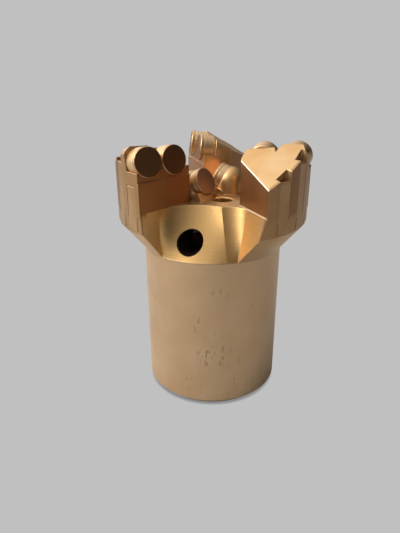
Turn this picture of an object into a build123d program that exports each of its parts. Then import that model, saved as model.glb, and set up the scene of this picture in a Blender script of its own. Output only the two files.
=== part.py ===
# Three-wing concave drill bit with diamond-faced cutters, standing on the mouth of its shank.
# Origin: centre of the thread mouth. +Z runs up the bit axis to the cutting end.
# The first wing's leading face lies in the XZ plane on the +X side and looks towards +Y.
import os
from math import cos, hypot, radians, sin, tan

from build123d import *

os.makedirs("parts", exist_ok=True)

# ---- driving dimensions (mm, degrees) ----
WING_COUNT = 3
WING_STEP = 360 / WING_COUNT

# turned blank
SHANK_R = 35.0
SHANK_TOP_Z = 78.0
SHANK_BEVEL = 2.6
FLARE_TOP_R = 46.6
FLARE_TOP_Z = 92.0
GAUGE_R = 47.0
WING_ROOT_Z = 99.0
BLANK_TOP_R = 46.9
HUB_TOP_Z = 101.4
BLANK_TOP_Z = 134.0

# inside of the shank
THREAD_R = 25.0
THREAD_DEPTH = 50.0
MOUTH_CHAMFER = 0.5
CHAMBER_R = 14.0
CHAMBER_START_Z = 61.0
CHAMBER_TOP_Z = 88.0

# wing, seen in its own frame: leading face on y = 0, steel on the -y side
WING_INNER_X = 16.2
WING_HEEL_Y = -15.5
WING_TAIL_ANGLE = -48.7
LEDGE_Z = 114.8
LEDGE_WIDTH = 0.4
SEAT_Z = 118.9
RELIEF_Z = 127.9
RELIEF_BACK_SLOPE = 0.55
RELIEF_OUT_SLOPE = 0.15

# large cutters
CUTTER_R = 6.72
CUTTER_LENGTH = 8.0
CUTTER_CHAMFER = 0.45
BACK_RAKE = 9.5
CUTTER_FACE_Y = 0.2
# row -> (x, z, turn about the bit axis)
CUTTER_ROW = {"inner": (25.6, 122.5, -6.0), "outer": (40.9, 123.1, -13.0)}
LOBE_R = 8.4
POCKET_CLEARANCE = 0.05

# small cutters over the hub: wing index -> (x, y, turn about the bit axis)
SMALL_RAKE = 24.0
SMALL_FACE_Z = 110.4
SMALL_CUTTERS = {1: (10.7, -6.1, -38.0), 2: (7.0, 2.2, 7.0)}
POST_R = 7.5
POST_FOOT_Z = 100.0
SMALL_FACE_ROOM = 1.0
POST_DEPTH = 9.5
SMALL_SEAT_DROP = 4.5
SMALL_SEAT_REACH = 6.5

# wear strips let into the gauge face
# angle behind the leading face -> (strip length, height the groove is cut up to)
STRIPS = {-7.2: (20.0, 113.2), -20.7: (29.2, 130.0), -37.0: (22.6, 130.0)}
STRIP_WIDTH = 6.4
STRIP_THICKNESS = 2.6
STRIP_CHAMFER = 0.3
STRIP_OUTER_R = 46.8
GROOVE_REACH = 8.0
GROOVE_WIDTH = 6.6
GROOVE_BACK_R = 44.0
GROOVE_FLOOR_Z = 93.0

# water ways
SIDE_HOLE_R = 5.9
SIDE_HOLE_ANGLE = -97.6
SIDE_HOLE_Z = 86.0
SIDE_HOLE_REACH = 27.6
SIDE_HOLE_RISE = 8.0
HUB_HOLE_R = 4.9
HUB_HOLE_AT = (6.3, -6.2)
HOLE_CHAMFER = 0.5


def polar(radius, angle):
    """Point at a radius and an angle in degrees about the bit axis."""
    return (radius * cos(radians(angle)), radius * sin(radians(angle)))


def cutter_plane(x, y, z, turn, rake, inset, wing=0):
    """Plane behind a cutter's face, on the numbered wing; its normal looks out of the face."""
    heading = radians(90 + turn)
    lift = radians(rake)
    normal = Vector(cos(heading) * cos(lift), sin(heading) * cos(lift), sin(lift))
    across = Vector(-sin(heading), cos(heading), 0)
    centre = Vector(x, y, z) - normal * inset
    step = wing * WING_STEP
    return Plane(
        origin=centre.rotate(Axis.Z, step),
        x_dir=across.rotate(Axis.Z, step),
        z_dir=normal.rotate(Axis.Z, step),
    )


SLOT_STEP = 0.3

# ---- outline points shared by the wing and the slot beside it ----
HEEL = (WING_INNER_X, WING_HEEL_Y)
TAIL = polar(GAUGE_R, WING_TAIL_ANGLE)
WALL_LENGTH = hypot(TAIL[0] - HEEL[0], TAIL[1] - HEEL[1])
WALL_DIR = ((TAIL[0] - HEEL[0]) / WALL_LENGTH, (TAIL[1] - HEEL[1]) / WALL_LENGTH)


def along_wall(start, distance):
    """Point a distance outwards from a start point, parallel to the wing's back wall."""
    return (start[0] + WALL_DIR[0] * distance, start[1] + WALL_DIR[1] * distance)


def past_wall(start):
    """Point stepped off the wing's back wall into the slot beside it."""
    return (start[0] + WALL_DIR[1] * SLOT_STEP, start[1] - WALL_DIR[0] * SLOT_STEP)


def left_side(radius):
    """Point stepped off the next wing's leading face into the slot, at a distance out."""
    x, y = polar(radius, -WING_STEP)
    return (x + SLOT_STEP * cos(radians(90 - WING_STEP)), y + SLOT_STEP * sin(radians(90 - WING_STEP)))


# slot outline level with the hub, then at the foot of the flare
SLOT_FOOT_Z = 78.5
SLOT_FOOT_R = 35.25
SLOT_REACH = 64.0
SLOT_TOP_LEFT = left_side(37.0)
SLOT_TOP_MIDDLE = (-8.4, -20.6)
SLOT_TOP_RIDGE = (8.6, -20.4)
SLOT_TOP_BEND = (14.6, -19.2)
SLOT_TOP_WALL = along_wall(past_wall(HEEL), 8.4)
SLOT_FOOT_RIDGE_R = 35.7
SLOT_FOOT_RIDGE_ANGLE = -67.0
SLOT_FOOT_WALL_ANGLE = -58.8

# ---- one wing above the hub: root, ledge under the cutters, and a lobe behind each large cutter ----
TAIL_MIDDLE = polar(GAUGE_R, WING_TAIL_ANGLE / 2)
LEDGE_INNER = (WING_INNER_X, -LEDGE_WIDTH)
LEDGE_OUTER = ((GAUGE_R**2 - LEDGE_WIDTH**2) ** 0.5, -LEDGE_WIDTH)
CROWN_LENGTH = 48.0
with BuildPart() as wing_steel:
    # rounded lobes, kept inside the wing's plan
    for x, z, turn in CUTTER_ROW.values():
        back = cutter_plane(x, CUTTER_FACE_Y, z, turn, BACK_RAKE, CUTTER_LENGTH)
        with BuildSketch(back):
            Circle(LOBE_R)
            with Locations((0, -LOBE_R / 2)):
                Rectangle(2 * LOBE_R, LOBE_R)
        extrude(amount=-CROWN_LENGTH)
    with BuildSketch(Plane.XY.offset(WING_ROOT_Z)) as wing_plan:
        with BuildLine():
            Polyline((GAUGE_R, 0), (WING_INNER_X, 0), HEEL, TAIL)
            ThreePointArc(TAIL, TAIL_MIDDLE, (GAUGE_R, 0))
        make_face()
    extrude(amount=BLANK_TOP_Z - WING_ROOT_Z, mode=Mode.INTERSECT)

    # root of the wing up to the ledge, then up to the cutter seats
    extrude(wing_plan.sketch, amount=LEDGE_Z - WING_ROOT_Z)
    with BuildSketch(Plane.XY.offset(LEDGE_Z)):
        with BuildLine():
            Polyline(LEDGE_OUTER, LEDGE_INNER, HEEL, TAIL)
            ThreePointArc(TAIL, TAIL_MIDDLE, LEDGE_OUTER)
        make_face()
    extrude(amount=SEAT_Z - LEDGE_Z)

    # relief plane: the top slopes away behind the cutting edge
    relief_normal = Vector(-RELIEF_OUT_SLOPE, -RELIEF_BACK_SLOPE, 1)
    split(bisect_by=Plane(origin=(0, 0, RELIEF_Z), z_dir=relief_normal), keep=Keep.BOTTOM)

# ---- body: one piece of steel, turned and then milled ----
with BuildPart() as body:
    # turned blank: shank, flare, gauge and the hub's flat top
    with BuildSketch(Plane.XZ) as turned:
        with BuildLine():
            Polyline(
                (0, 0),
                (SHANK_R - SHANK_BEVEL, 0),
                (SHANK_R, SHANK_BEVEL),
                (SHANK_R, SHANK_TOP_Z),
                (FLARE_TOP_R, FLARE_TOP_Z),
                (BLANK_TOP_R, HUB_TOP_Z),
                (0, HUB_TOP_Z),
                close=True,
            )
        make_face()
    revolve(axis=Axis.Z)

    # junk slots: two side-by-side milled passes that run out at the foot of the flare
    for wing in range(WING_COUNT):
        turn = wing * WING_STEP
        with BuildSketch(Plane.XY.offset(SLOT_FOOT_Z).rotated((0, 0, turn))):
            with BuildLine():
                foot_left = left_side(SLOT_FOOT_R)
                foot_ridge = polar(SLOT_FOOT_RIDGE_R, SLOT_FOOT_RIDGE_ANGLE)
                foot_wall = polar(SLOT_FOOT_R, SLOT_FOOT_WALL_ANGLE)
                middle_angle = (SLOT_FOOT_RIDGE_ANGLE - WING_STEP) / 2
                bend_angle = (SLOT_FOOT_RIDGE_ANGLE + SLOT_FOOT_WALL_ANGLE) / 2
                ThreePointArc(foot_left, polar(SLOT_FOOT_R, middle_angle), foot_ridge)
                ThreePointArc(foot_ridge, polar(SLOT_FOOT_R, bend_angle), foot_wall)
                Polyline(
                    foot_wall,
                    along_wall(foot_wall, 28.0),
                    polar(SLOT_REACH, -90.0),
                    left_side(SLOT_REACH),
                    foot_left,
                )
            make_face()
        with BuildSketch(Plane.XY.offset(HUB_TOP_Z).rotated((0, 0, turn))):
            with BuildLine():
                ThreePointArc(SLOT_TOP_LEFT, SLOT_TOP_MIDDLE, SLOT_TOP_RIDGE)
                ThreePointArc(SLOT_TOP_RIDGE, SLOT_TOP_BEND, SLOT_TOP_WALL)
                Polyline(
                    SLOT_TOP_WALL,
                    along_wall(SLOT_TOP_WALL, 28.0),
                    polar(SLOT_REACH, -90.0),
                    left_side(SLOT_REACH),
                    SLOT_TOP_LEFT,
                )
            make_face()
        loft(ruled=True, mode=Mode.SUBTRACT)

    # wings on the hub
    with PolarLocations(0, WING_COUNT):
        add(wing_steel.part)

    # round-headed posts behind the two small cutters, each with a low seat under its cutter
    for wing, (x, y, turn) in SMALL_CUTTERS.items():
        back = cutter_plane(x, y, SMALL_FACE_Z, turn, SMALL_RAKE, CUTTER_LENGTH, wing)
        head_z = back.origin.Z
        post_foot = Vector(back.origin.X, back.origin.Y, 0)
        with BuildSketch(Plane(origin=post_foot, x_dir=(1, 0, 0), z_dir=(0, -1, 0))):
            with BuildLine():
                Polyline((0, head_z + POST_R), (0, POST_FOOT_Z), (POST_R, POST_FOOT_Z), (POST_R, head_z))
                CenterArc((0, head_z), POST_R, 0, 90)
            make_face()
        revolve(axis=Axis(post_foot, (0, 0, 1)))
        with BuildSketch(back):
            with Locations((0, -(POST_DEPTH + SMALL_SEAT_DROP) / 2)):
                Rectangle(2 * POST_R, POST_DEPTH - SMALL_SEAT_DROP)
        extrude(amount=SMALL_SEAT_REACH)
        with BuildSketch(back):
            Circle(CUTTER_R + POCKET_CLEARANCE)
        extrude(amount=CUTTER_LENGTH + SMALL_FACE_ROOM, mode=Mode.SUBTRACT)

    # pockets of the large cutters
    for wing in range(WING_COUNT):
        for x, z, turn in CUTTER_ROW.values():
            with BuildSketch(cutter_plane(x, CUTTER_FACE_Y, z, turn, BACK_RAKE, CUTTER_LENGTH, wing)):
                Circle(CUTTER_R + POCKET_CLEARANCE)
            extrude(amount=2 * CUTTER_LENGTH, mode=Mode.SUBTRACT)

    # upright grooves for the wear strips
    for angle, (length, groove_top) in STRIPS.items():
        for wing in range(WING_COUNT):
            heading = angle + wing * WING_STEP
            with BuildSketch(Plane.XY.offset(GROOVE_FLOOR_Z)):
                with Locations(Location(polar(GROOVE_BACK_R, heading), heading)):
                    Rectangle(GROOVE_REACH, GROOVE_WIDTH, align=(Align.MIN, Align.CENTER))
            extrude(amount=groove_top - GROOVE_FLOOR_Z, mode=Mode.SUBTRACT)

    # thread bore and water chamber, open at the foot of the shank
    with BuildSketch(Plane.XZ):
        with BuildLine():
            Polyline(
                (0, 0),
                (THREAD_R + MOUTH_CHAMFER, 0),
                (THREAD_R, MOUTH_CHAMFER),
                (THREAD_R, THREAD_DEPTH),
                (CHAMBER_R, CHAMBER_START_Z),
                (CHAMBER_R, CHAMBER_TOP_Z),
                (0, CHAMBER_TOP_Z),
                close=True,
            )
        make_face()
    revolve(axis=Axis.Z, mode=Mode.SUBTRACT)

    # one water hole up through the hub, and one in the floor of each slot
    with Locations((*HUB_HOLE_AT, HUB_TOP_Z)):
        CounterSinkHole(HUB_HOLE_R, HUB_HOLE_R + HOLE_CHAMFER, HUB_TOP_Z - CHAMBER_TOP_Z + 1)
    rise = radians(SIDE_HOLE_RISE)
    start_z = SIDE_HOLE_Z - SIDE_HOLE_REACH * tan(rise)
    for wing in range(WING_COUNT):
        heading = radians(SIDE_HOLE_ANGLE + wing * WING_STEP)
        outwards = (cos(heading) * cos(rise), sin(heading) * cos(rise), sin(rise))
        with BuildSketch(Plane(origin=(0, 0, start_z), z_dir=outwards)):
            Circle(SIDE_HOLE_R)
        extrude(amount=SHANK_R + CHAMBER_R, mode=Mode.SUBTRACT)

body.part.label = "body"
export_step(body.part, "parts/body.step")


# ---- cutters: a short sintered cylinder each, face edge chamfered ----
def export_cutter(name, radius, plane):
    """Write one cutter lying on its axis, its back on the given plane."""
    with BuildPart() as cutter:
        with BuildSketch(plane):
            Circle(radius)
        extrude(amount=CUTTER_LENGTH)
        chamfer(cutter.faces().sort_by(plane_axis(plane))[-1].edges(), CUTTER_CHAMFER)
    cutter.part.label = name
    export_step(cutter.part, f"parts/{name}.step")


def plane_axis(plane):
    """Axis standing on a plane."""
    return Axis(plane.origin, plane.z_dir)


for wing in range(WING_COUNT):
    for row, (x, z, turn) in CUTTER_ROW.items():
        seat = cutter_plane(x, CUTTER_FACE_Y, z, turn, BACK_RAKE, CUTTER_LENGTH, wing)
        export_cutter(f"cutter_{row}_{wing + 1}", CUTTER_R, seat)
for wing, (x, y, turn) in SMALL_CUTTERS.items():
    seat = cutter_plane(x, y, SMALL_FACE_Z, turn, SMALL_RAKE, CUTTER_LENGTH, wing)
    export_cutter(f"cutter_small_{wing + 1}", CUTTER_R, seat)

# ---- wear strips: flat carbide bars standing on the floors of their grooves ----
for row, (angle, (length, groove_top)) in enumerate(STRIPS.items()):
    for wing in range(WING_COUNT):
        heading = angle + wing * WING_STEP
        with BuildPart() as strip:
            with BuildSketch(Plane.XY.offset(GROOVE_FLOOR_Z)):
                with Locations(Location(polar(STRIP_OUTER_R, heading), heading)):
                    Rectangle(STRIP_THICKNESS, STRIP_WIDTH, align=(Align.MAX, Align.CENTER))
            extrude(amount=length)
            chamfer(strip.faces().sort_by(Axis.Z)[-1].edges(), STRIP_CHAMFER)
        strip.part.label = f"strip_{wing + 1}_{row + 1}"
        export_step(strip.part, f"parts/strip_{wing + 1}_{row + 1}.step")
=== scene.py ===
import bpy, math
import numpy as np
from mathutils import Matrix, Vector


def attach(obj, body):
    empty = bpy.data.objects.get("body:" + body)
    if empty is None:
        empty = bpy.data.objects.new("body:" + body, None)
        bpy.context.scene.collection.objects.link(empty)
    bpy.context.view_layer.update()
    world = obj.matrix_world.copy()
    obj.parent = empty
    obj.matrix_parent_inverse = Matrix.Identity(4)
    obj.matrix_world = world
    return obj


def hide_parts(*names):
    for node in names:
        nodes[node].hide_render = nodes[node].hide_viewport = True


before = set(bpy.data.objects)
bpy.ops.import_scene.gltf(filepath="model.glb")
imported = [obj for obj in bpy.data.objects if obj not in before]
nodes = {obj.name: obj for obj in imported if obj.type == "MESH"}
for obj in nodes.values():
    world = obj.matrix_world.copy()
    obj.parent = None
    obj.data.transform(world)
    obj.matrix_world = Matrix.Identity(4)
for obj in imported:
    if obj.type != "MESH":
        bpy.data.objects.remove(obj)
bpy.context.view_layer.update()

# ------------------------------------------------------------------ camera
# A hand-held camera a little over twenty centimetres from the bit, looking down on the
# cutting end at about twenty-two degrees, with the thread mouth at the foot of the view.
cam = bpy.data.objects.new("camera", bpy.data.cameras.new("camera"))
bpy.context.collection.objects.link(cam)
look_down, roll, heading = 21.97, 0.17, 13.4
cam.location = (0.0461, -0.2147, 0.1540)
cam.rotation_euler = [math.radians(angle) for angle in (90 - look_down, roll, heading)]
cam.data.lens = 29.9
cam.data.shift_x = -0.0049
cam.data.shift_y = -0.0083
cam.data.clip_start = 0.01
bpy.context.scene.camera = cam

# ------------------------------------------------------------------ paint on the steel
# The whole bit is sprayed with a thin satin gold-bronze paint after it is machined. The coat
# clouds a little and has a fine grain; sharp edges are paler in patches, wear and painted highlight.
paint = bpy.data.node_groups.new("sprayed_coat", "ShaderNodeTree")
sockets = {
    "INPUT": {"Tone": "Color", "PaleAndSheen": "Color", "EdgeWearAndSheen": "Float"},
    "OUTPUT": {"Colour": "Color", "Rough": "Float", "Normal": "Vector"},
}
for side, kinds in sockets.items():
    for name, kind in kinds.items():
        paint.interface.new_socket(name, in_out=side, socket_type="NodeSocket" + kind)


def add(tree, kind, ins=(), **sets):
    """One node with its settings and inputs; an input is a value or another node's output."""
    node = tree.nodes.new(kind)
    for key, value in sets.items():
        setattr(node, key, value)
    for key, value in dict(ins).items():
        if isinstance(value, bpy.types.NodeSocket):
            tree.links.new(value, node.inputs[key])
        else:
            node.inputs[key].default_value = value
    return node


def maths(tree, op, a, b=0.0, c=0.0):
    """One sum on two or three values or outputs."""
    return add(tree, "ShaderNodeMath", {0: a, 1: b, 2: c}, operation=op).outputs[0]


def times(tree, first, *rest):
    """All of these masks or values multiplied together."""
    for value in rest:
        first = maths(tree, "MULTIPLY", first, value)
    return first


def span(tree, value, low, high, at_low, at_high, kind="LINEAR"):
    """at_low below low, at_high above high, and a straight or smooth run between them."""
    ins = {0: value, 1: low, 2: high, 3: at_low, 4: at_high}
    return add(tree, "ShaderNodeMapRange", ins, interpolation_type=kind).outputs[0]


def ramp(tree, value, low, high):
    """0 below low, 1 above high, smooth between."""
    return span(tree, value, low, high, 0.0, 1.0, "SMOOTHSTEP")


def mix(tree, amount, a, b):
    """Colour a turning into colour b."""
    return add(tree, "ShaderNodeMix", {0: amount, 6: a, 7: b}, data_type="RGBA").outputs[2]


def noise(tree, where, scale, detail, **more):
    """Cloudy values between 0 and 1."""
    ins = {"Vector": where, "Scale": scale, "Detail": detail, **more}
    return add(tree, "ShaderNodeTexNoise", ins).outputs["Fac"]


def vector(tree, op, a, b=(0, 0, 0)):
    """One sum on vectors; a dot product, a length and a distance give a number."""
    node = add(tree, "ShaderNodeVectorMath", {0: a, 1: b}, operation=op)
    return node.outputs["Value" if op in ("DOT_PRODUCT", "LENGTH", "DISTANCE") else "Vector"]


given = add(paint, "NodeGroupInput").outputs
result = add(paint, "NodeGroupOutput").inputs
coord = add(paint, "ShaderNodeTexCoord").outputs["Object"]
cloud = noise(paint, coord, 55.0, 4.0)
grain = noise(paint, coord, 900.0, 3.0)
speck = noise(paint, coord, 260.0, 5.0, Roughness=0.7)

# how far the rounded normal leans from the flat one tells where an edge is
bevel = add(paint, "ShaderNodeBevel", {"Radius": 0.0005}, samples=6).outputs[0]
flat = add(paint, "ShaderNodeNewGeometry").outputs["True Normal"]
lean = maths(paint, "SUBTRACT", 1.0, vector(paint, "DOT_PRODUCT", bevel, flat))
# painted highlight: sharp edges turn to the pale tone in patches, part wear, part painted light
edge_wear_and_sheen = times(paint, ramp(paint, lean, 0.02, 0.2), given["EdgeWearAndSheen"], ramp(paint, speck, 0.32, 0.6))
clouded = times(paint, ramp(paint, cloud, 0.35, 0.75), 0.35)
tone = mix(paint, clouded, given["Tone"], given["PaleAndSheen"])
tone = mix(paint, edge_wear_and_sheen, tone, given["PaleAndSheen"])

plain_rough, cloud_rough = 0.37, 0.12
grain_bump = {"Height": grain, "Normal": bevel, "Strength": 0.10, "Distance": 0.0002}
paint.links.new(tone, result["Colour"])
paint.links.new(maths(paint, "MULTIPLY_ADD", cloud, cloud_rough, plain_rough), result["Rough"])
paint.links.new(add(paint, "ShaderNodeBump", grain_bump).outputs[0], result["Normal"])


def painted(name, tone, pale_and_sheen, edge, metal=0.92):
    """A material with the sprayed coat on it, its shader ready for more."""
    mat = bpy.data.materials.new(name)
    mat.use_nodes = True
    tree = mat.node_tree
    shader = tree.nodes["Principled BSDF"]
    shader.inputs["Metallic"].default_value = metal
    ins = {"Tone": (*tone, 1), "PaleAndSheen": (*pale_and_sheen, 1), "EdgeWearAndSheen": edge}
    coat = add(tree, "ShaderNodeGroup", ins, node_tree=paint)
    tree.links.new(coat.outputs["Colour"], shader.inputs["Base Color"])
    tree.links.new(coat.outputs["Rough"], shader.inputs["Roughness"])
    tree.links.new(coat.outputs["Normal"], shader.inputs["Normal"])
    return mat, tree, shader, coat


# ------------------------------------------------------------------ body
# One steel piece, turned and milled. The milled floors of the junk slots are brighter and
# carry the fine level lines of the cutter; the hub's top is duller, the shank is scuffed.
steel, tree, shader, coat = painted(
    "steel_body", tone=(0.58, 0.345, 0.145), pale_and_sheen=(0.90, 0.70, 0.44), edge=0.8
)
place = add(tree, "ShaderNodeTexCoord").outputs["Object"]
at_x, at_y, height = add(tree, "ShaderNodeSeparateXYZ", {0: place}).outputs
radius = maths(tree, "SQRT", maths(tree, "ADD", times(tree, at_x, at_x), times(tree, at_y, at_y)))
wing_step = 120


def fall(tree, value, low, high):
    """1 below low, 0 above high, smooth between."""
    return ramp(tree, times(tree, value, -1.0), -high, -low)


def most(tree, first, *rest):
    """The largest of these masks or values."""
    for value in rest:
        first = maths(tree, "MAXIMUM", first, value)
    return first


def line_place(tree, start, way):
    """How far a place lies along a line from its start, and how far off the line it lies."""
    arm = vector(tree, "SUBTRACT", place, start)
    off = vector(tree, "LENGTH", vector(tree, "CROSS_PRODUCT", arm, way))
    return vector(tree, "DOT_PRODUCT", arm, way), off


# the shank is paler and less golden than the rest
shank_top, shank_share, shank_tone = (0.074, 0.088), 0.55, (0.60, 0.445, 0.305, 1)
on_shank = times(tree, fall(tree, height, *shank_top), shank_share)
shown = mix(tree, on_shank, coat.outputs["Colour"], shank_tone)

# painted shade: the leading faces are painted dark brown above the hub, for the dark room they face
lead_shade_share, lead_shade_tone = 0.75, (0.27, 0.100, 0.034, 1)
facing = add(tree, "ShaderNodeNewGeometry").outputs["True Normal"]
leads = []
for wing in range(3):
    turn = math.radians(90 + wing_step * wing)
    ahead = (math.cos(turn), math.sin(turn), 0)
    leads.append(vector(tree, "DOT_PRODUCT", facing, ahead))
lead_shade = times(tree, ramp(tree, most(tree, *leads), 0.97, 0.995), ramp(tree, height, 0.099, 0.1015))
shown = mix(tree, times(tree, lead_shade, lead_shade_share), shown, lead_shade_tone)

# the slots are what lies inside the turned blank, between the flare's foot and the hub's top
flare_foot_z, flare_foot_r, flare_slope, blank_r = 0.078, 0.0347, 0.83, 0.0437
slot_foot, slot_top, slot_skin = (0.0782, 0.0786), (0.1012, 0.1013), (0.0, 0.0003)
above_foot = maths(tree, "SUBTRACT", height, flare_foot_z)
flare = maths(tree, "MULTIPLY_ADD", above_foot, flare_slope, flare_foot_r)
inside = maths(tree, "SUBTRACT", maths(tree, "MINIMUM", flare, blank_r), radius)
milled = times(tree, ramp(tree, inside, *slot_skin), ramp(tree, height, *slot_foot))
milled = times(tree, milled, fall(tree, height, *slot_top))
lines = noise(tree, vector(tree, "MULTIPLY", place, (40.0, 40.0, 2600.0)), 1.0, 3.0)
bright = mix(tree, lines, (0.56, 0.335, 0.120, 1), (0.76, 0.485, 0.205, 1))
shown = mix(tree, milled, shown, bright)

# dark scuffs on the shank, thickest near six places: x, y, z and reach of each
scuff_spots = (
    ((0.0282, -0.0208, 0.0547), 0.006),
    ((0.0080, -0.034, 0.0310), 0.013),
    ((0.0139, -0.0321, 0.0310), 0.009),
    ((-0.0034, -0.0348, 0.011), 0.007),
    ((0.0190, -0.0294, 0.0125), 0.008),
    ((0.010, -0.0335, 0.062), 0.006),
)
scuff_top, scuff_share, scuff_tone = (0.070, 0.075), 0.55, (0.13, 0.085, 0.045, 1)
stretched = vector(tree, "MULTIPLY", place, (520.0, 520.0, 150.0))
scratch = noise(tree, stretched, 1.0, 4.0, Roughness=0.7, Distortion=0.5)
area = noise(tree, place, 34.0, 1.0)
spots = []
for spot, reach in scuff_spots:
    far = vector(tree, "DISTANCE", place, spot)
    spots.append(span(tree, far, reach * 0.3, reach, 1.0, 0.0))
loose = times(tree, ramp(tree, scratch, 0.62, 0.70), ramp(tree, area, 0.50, 0.62))
thick = times(tree, ramp(tree, scratch, 0.55, 0.64), most(tree, *spots))
scuff = times(tree, most(tree, loose, thick), fall(tree, height, *scuff_top))
shown = mix(tree, times(tree, scuff, scuff_share), shown, scuff_tone)

# painted shade: the gauge faces are painted darker
gauge_r, gauge_foot, gauge_shade_share = (0.0455, 0.0462), (0.0915, 0.0922), 0.6
gauge_shade = times(tree, ramp(tree, radius, *gauge_r), ramp(tree, height, *gauge_foot))
shown = mix(tree, times(tree, gauge_shade, gauge_shade_share), shown, (0.26, 0.135, 0.058, 1))

# painted shade: the water holes in the slots are painted black and dull inside, each a tube on a line
# that rises from the axis
hole_turn, rise, hole_foot = -97.6, math.radians(8), Vector((0, 0, 0.0821212))
hole_wall, hole_start, shade_dulling = (0.00595, 0.00605), (0.005, 0.006), 0.9
tubes = []
for wing in range(3):
    turn = math.radians(hole_turn + wing_step * wing)
    level = math.cos(rise)
    way = Vector((math.cos(turn) * level, math.sin(turn) * level, math.sin(rise)))
    ahead, off = line_place(tree, hole_foot, way)
    tubes.append(times(tree, fall(tree, off, *hole_wall), ramp(tree, ahead, *hole_start)))
hole_shade = most(tree, *tubes)
shown = mix(tree, hole_shade, shown, (0.02, 0.012, 0.007, 1))
metal = maths(tree, "SUBTRACT", 0.92, times(tree, hole_shade, shade_dulling))
tree.links.new(metal, shader.inputs["Metallic"])

# painted highlights: bright lines painted along the top edge of each wing's back wall, and
# across that wall level with the hub's top
highlight_edges = (
    ((0.0162, -0.0155, 0.12180), (0.0310, -0.0353, 0.11314)),
    ((0.0162, -0.0155, 0.1014), (0.0310, -0.0353, 0.1010)),
)
highlight_core, highlight_reach, highlight_end, highlight_share = 0.00020, 0.00050, 0.0002, 0.9
highlight_lines = []
for wing in range(3):
    spin = Matrix.Rotation(math.radians(wing_step * wing), 3, "Z")
    for ends in highlight_edges:
        start, end = (spin @ Vector(point) for point in ends)
        length = (end - start).length
        ahead, off = line_place(tree, start, (end - start).normalized())
        before_end = fall(tree, ahead, length - highlight_end, length)
        along = times(tree, ramp(tree, ahead, -highlight_end, highlight_end), before_end)
        highlight_lines.append(times(tree, span(tree, off, highlight_core, highlight_reach, 1.0, 0.0), along))
edge_highlight = times(tree, most(tree, *highlight_lines), highlight_share)
# the near-white tone of the painted highlight lines
shown = mix(tree, edge_highlight, shown, (1.0, 0.92, 0.74, 1))
tree.links.new(shown, shader.inputs["Base Color"])

# the mill's lines stand in the slots as well as colour them
line_bump = {
    "Height": lines,
    "Normal": coat.outputs["Normal"],
    "Strength": times(tree, milled, 0.35),
    "Distance": 0.0001,
}
tree.links.new(add(tree, "ShaderNodeBump", line_bump).outputs[0], shader.inputs["Normal"])
body = nodes["body"]
body.data.materials.clear()
body.data.materials.append(steel)
edge = body.modifiers.new("eased_edges", "BEVEL")
edge.width = 0.00028
edge.segments = 2
edge.limit_method = "ANGLE"
edge.angle_limit = math.radians(32)

# ------------------------------------------------------------------ cutters
# Each cutter is a carbide cylinder with a layer of sintered diamond on its face. The layer's
# edge is chamfered and its seam shows as a fine line round the barrel; paint hides the rest.
diamond = 0.0020


def cutter_coat(name, face_and_shade_tone):
    """Coat of a cutter, given the tone of its diamond face: a darker coat with painted shade in it.
    """
    mat, tree, shader, coat = painted(
        name, tone=(0.66, 0.425, 0.205), pale_and_sheen=(0.88, 0.68, 0.44), edge=0.5
    )
    place = add(tree, "ShaderNodeTexCoord").outputs["Object"]
    height = add(tree, "ShaderNodeSeparateXYZ", {0: place}).outputs[2]
    face = ramp(tree, height, -0.0003, -0.0001)
    layer = times(tree, ramp(tree, height, -diamond - 0.0001, -diamond + 0.0001), 0.35)
    tint = mix(tree, layer, coat.outputs["Colour"], (0.45, 0.28, 0.14, 1))
    tint = mix(tree, face, tint, (*face_and_shade_tone, 1))
    tree.links.new(tint, shader.inputs["Base Color"])
    return mat


# painted shade: the row cutters' faces, turned like the dark leading faces, are painted darker than
# the small cutters'
row_coat = cutter_coat("cutter_coat", face_and_shade_tone=(0.20, 0.092, 0.038))
post_coat = cutter_coat("small_cutter_coat", face_and_shade_tone=(0.42, 0.215, 0.125))


def lathe(name, profile, steps=96):
    """Surface of turning: each profile point (r, z) is swept round Z, at (r cos t, r sin t, z)
    for t from 0 to 2 pi; points with r = 0 close the ends."""
    ring = np.linspace(0, 2 * np.pi, steps, endpoint=False)
    prof = np.array(profile, float)
    x = prof[:, :1] * np.cos(ring)
    y = prof[:, :1] * np.sin(ring)
    z = np.repeat(prof[:, 1:2], steps, axis=1)
    verts = np.stack([x, y, z], -1).reshape(-1, 3)
    faces = []
    for i in range(len(prof) - 1):
        low, high = i * steps, (i + 1) * steps
        for j in range(steps):
            k = (j + 1) % steps
            faces.append((low + j, low + k, high + k, high + j))
    mesh = bpy.data.meshes.new(name)
    mesh.from_pydata(verts.tolist(), [], faces)
    mesh.validate()
    mesh.polygons.foreach_set("use_smooth", [True] * len(mesh.polygons))
    mesh.set_sharp_from_angle(angle=math.radians(28))
    thing = bpy.data.objects.new(name, mesh)
    bpy.context.collection.objects.link(thing)
    return thing


def cutter_frame(x, y, z, turn, rake, wing):
    """Matrix that stands a cutter's own Z along its axis, with its face centre at the given place."""
    tip = Matrix.Rotation(math.radians(wing * wing_step), 4, "Z")
    put = Matrix.Translation((x, y, z)) @ Matrix.Rotation(math.radians(turn), 4, "Z")
    lean = Matrix.Rotation(math.radians(rake - 90), 4, "X")
    return tip @ put @ lean


# the outline of a cutter from the middle of its back to the middle of its face
barrel_r, barrel_length = 0.00672, 0.008
back_edge, face_edge, face_ring = 0.0003, 0.00045, 0.0012
seam_depth, seam_mouth, seam_root = 0.00012, 0.00015, 0.00005
profile = [
    (0, -barrel_length),
    (barrel_r - back_edge, -barrel_length),
    (barrel_r, back_edge - barrel_length),
    (barrel_r, -diamond - seam_mouth),
    (barrel_r - seam_depth, -diamond - seam_root),
    (barrel_r - seam_depth, -diamond + seam_root),
    (barrel_r, -diamond + seam_mouth),
    (barrel_r, -face_edge),
    (barrel_r - face_edge, 0),
    (barrel_r - face_ring, 0),
    (0, 0),
]

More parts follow.
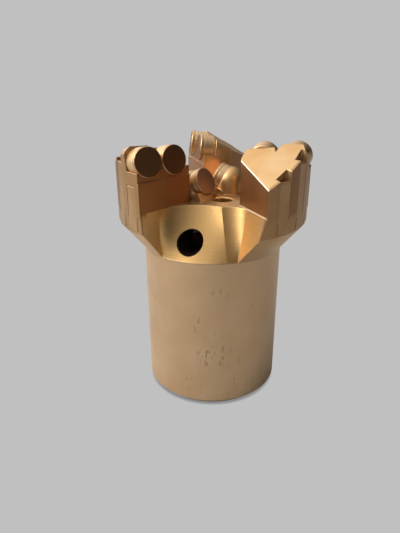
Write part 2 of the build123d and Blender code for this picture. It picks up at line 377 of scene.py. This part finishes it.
# x, y and z of the face's centre, turn and back rake; the wing at the right has no post
row_rake, post_rake, post_z = 9.5, 24, 0.1104
on_every_wing = {
    "inner": (0.0256, 0.0002, 0.1225, -6, row_rake),
    "outer": (0.0409, 0.0002, 0.1231, -13, row_rake),
}
on_posts = {
    1: (0.0107, -0.0061, post_z, -38, post_rake),
    2: (0.0070, 0.0022, post_z, 7, post_rake),
}
for wing in range(3):
    places = dict(on_every_wing)
    if wing in on_posts:
        places["small"] = on_posts[wing]
    for row, (x, y, z, turn, rake) in places.items():
        cutter = lathe(f"pdc_{row}_{wing + 1}", profile)
        cutter.matrix_world = cutter_frame(x, y, z, turn, rake, wing)
        cutter.data.materials.append(post_coat if row == "small" else row_coat)
        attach(cutter, "root")
        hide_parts(f"cutter_{row}_{wing + 1}")

# ------------------------------------------------------------------ wear strips
# Sintered carbide bars brazed nearly flush into the gauge face. They take the same coat, in
# painted shade like the gauge round them but a shade lighter, with their edges showing.
# painted shade: the strips' tone is darkened to match the shaded gauge faces
shaded_strip_coat = painted("shaded_strip_coat", tone=(0.40, 0.235, 0.105), pale_and_sheen=(0.70, 0.50, 0.29), edge=0.9)[0]
for name, node in nodes.items():
    if name.startswith("strip"):
        node.data.materials.clear()
        node.data.materials.append(shaded_strip_coat)

# ------------------------------------------------------------------ thread in the shank
# A coarse thread is cut in the mouth of the shank for the end of the drill rod. Its roots are
# the bore wall, its ridge stands in from there, and it runs out at both ends.
def screw(name, radius, depth, pitch, low, high, steps=72):
    """Helical ridge: p(t, u) = (R(u) cos t, R(u) sin t, low + pitch t / 2 pi + w(u)), its
    section a trapezium that stands in from the radius by depth."""
    turns = (high - low) / pitch
    t = np.linspace(0, 2 * np.pi * turns, int(steps * turns) + 1)
    run_out, thinnest, sunk = 1.2, 0.02, 0.0001
    fade = np.clip(np.minimum(t, t[-1] - t) / run_out, thinnest, 1.0)
    root, crest = 0.40, 0.16
    section = [(0.0, -root), (1.0, -crest), (1.0, crest), (0.0, root)]
    rings = []
    for inward, along in section:
        r = radius + sunk - (depth + sunk) * inward * fade
        z = low + pitch * t / (2 * np.pi) + pitch * along
        rings.append(np.stack([r * np.cos(t), r * np.sin(t), z], -1))
    verts = np.stack(rings, 1).reshape(-1, 3)
    n = len(section)
    last = (len(t) - 1) * n
    faces = []
    for i in range(0, last, n):
        for j in range(n):
            k = (j + 1) % n
            faces.append((i + j, i + n + j, i + n + k, i + k))
    faces += [tuple(range(n)), tuple(reversed(range(last, last + n)))]
    mesh = bpy.data.meshes.new(name)
    mesh.from_pydata(verts.tolist(), [], faces)
    mesh.validate()
    thing = bpy.data.objects.new(name, mesh)
    bpy.context.collection.objects.link(thing)
    return thing


thread_coat = painted(
    "bare_thread", tone=(0.40, 0.33, 0.26), pale_and_sheen=(0.60, 0.52, 0.42), edge=0.6, metal=0.95
)[0]
thread = screw("thread_ridge", radius=0.025, depth=0.0014, pitch=0.006, low=0.0040, high=0.0460)
thread.data.materials.append(thread_coat)
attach(thread, "root")

# ------------------------------------------------------------------ floor and light
# A plain pale grey table under one wide soft lamp from the upper left, in a room that is
# brightest on the left and overhead. The camera sees one flat grey, with a painted contact shadow
# under the foot.
backdrop = 0.527


def seen_and_lit(tree, output, lit, seen):
    """One shader for the light that reaches the bit, another for what the camera sees."""
    camera = add(tree, "ShaderNodeLightPath").outputs["Is Camera Ray"]
    both = add(tree, "ShaderNodeMixShader", {0: camera, 1: lit, 2: seen}).outputs[0]
    tree.links.new(both, add(tree, output).inputs[0])


bpy.ops.mesh.primitive_circle_add(vertices=96, radius=30, fill_type="NGON", location=(0, 0, 0))
floor = bpy.context.object
floor.name = "floor"
floor_mat = bpy.data.materials.new("floor")
floor_mat.use_nodes = True
tree = floor_mat.node_tree
tree.nodes.clear()
contact_reach, contact_shade = 0.0022, 0.25
open_sky = add(tree, "ShaderNodeAmbientOcclusion", {"Distance": contact_reach}, samples=16)
shade = span(tree, open_sky.outputs["AO"], 0.35, 0.92, contact_shade, backdrop)
table = add(tree, "ShaderNodeEmission", {"Color": (1, 1, 1, 1), "Strength": shade}).outputs[0]
pale = add(tree, "ShaderNodeBsdfDiffuse", {"Color": (0.50, 0.50, 0.50, 1)}).outputs[0]
seen_and_lit(tree, "ShaderNodeOutputMaterial", pale, table)
floor.data.materials.append(floor_mat)

# the window: a wide soft lamp high on the left, a little in front of the bit
lamp = bpy.data.objects.new("window", bpy.data.lights.new("window", "AREA"))
lamp.data.shape = "DISK"
lamp.data.size = 0.42
lamp.data.energy = 3.6
lamp.data.color = (1.0, 0.97, 0.93)
lamp.location = (-0.52, -0.22, 0.50)
aim = Vector((0, 0, 0.08)) - lamp.location
lamp.rotation_euler = aim.to_track_quat("-Z", "Y").to_euler()
bpy.context.collection.objects.link(lamp)

# the room: a bright wall on the left and a dimmer ceiling
world = bpy.data.worlds.new("room")
bpy.context.scene.world = world
world.use_nodes = True
tree = world.node_tree
tree.nodes.clear()
way_in = add(tree, "ShaderNodeTexCoord").outputs["Generated"]
left = vector(tree, "DOT_PRODUCT", way_in, (-0.80, 0.10, 0.42))
wall = span(tree, left, 0.02, 0.80, 0.015, 1.45, "SMOOTHSTEP")
up = add(tree, "ShaderNodeSeparateXYZ", {0: way_in}).outputs[2]
ceiling = span(tree, up, 0.35, 1.0, 0.0, 0.40, "SMOOTHSTEP")
glow = {"Color": (1, 0.98, 0.96, 1), "Strength": maths(tree, "ADD", wall, ceiling)}
grey = {"Color": (backdrop, backdrop, backdrop, 1), "Strength": 1.0}
room = add(tree, "ShaderNodeBackground", glow).outputs[0]
plain = add(tree, "ShaderNodeBackground", grey).outputs[0]
seen_and_lit(tree, "ShaderNodeOutputWorld", room, plain)
bpy.context.scene.view_settings.view_transform = "Standard"
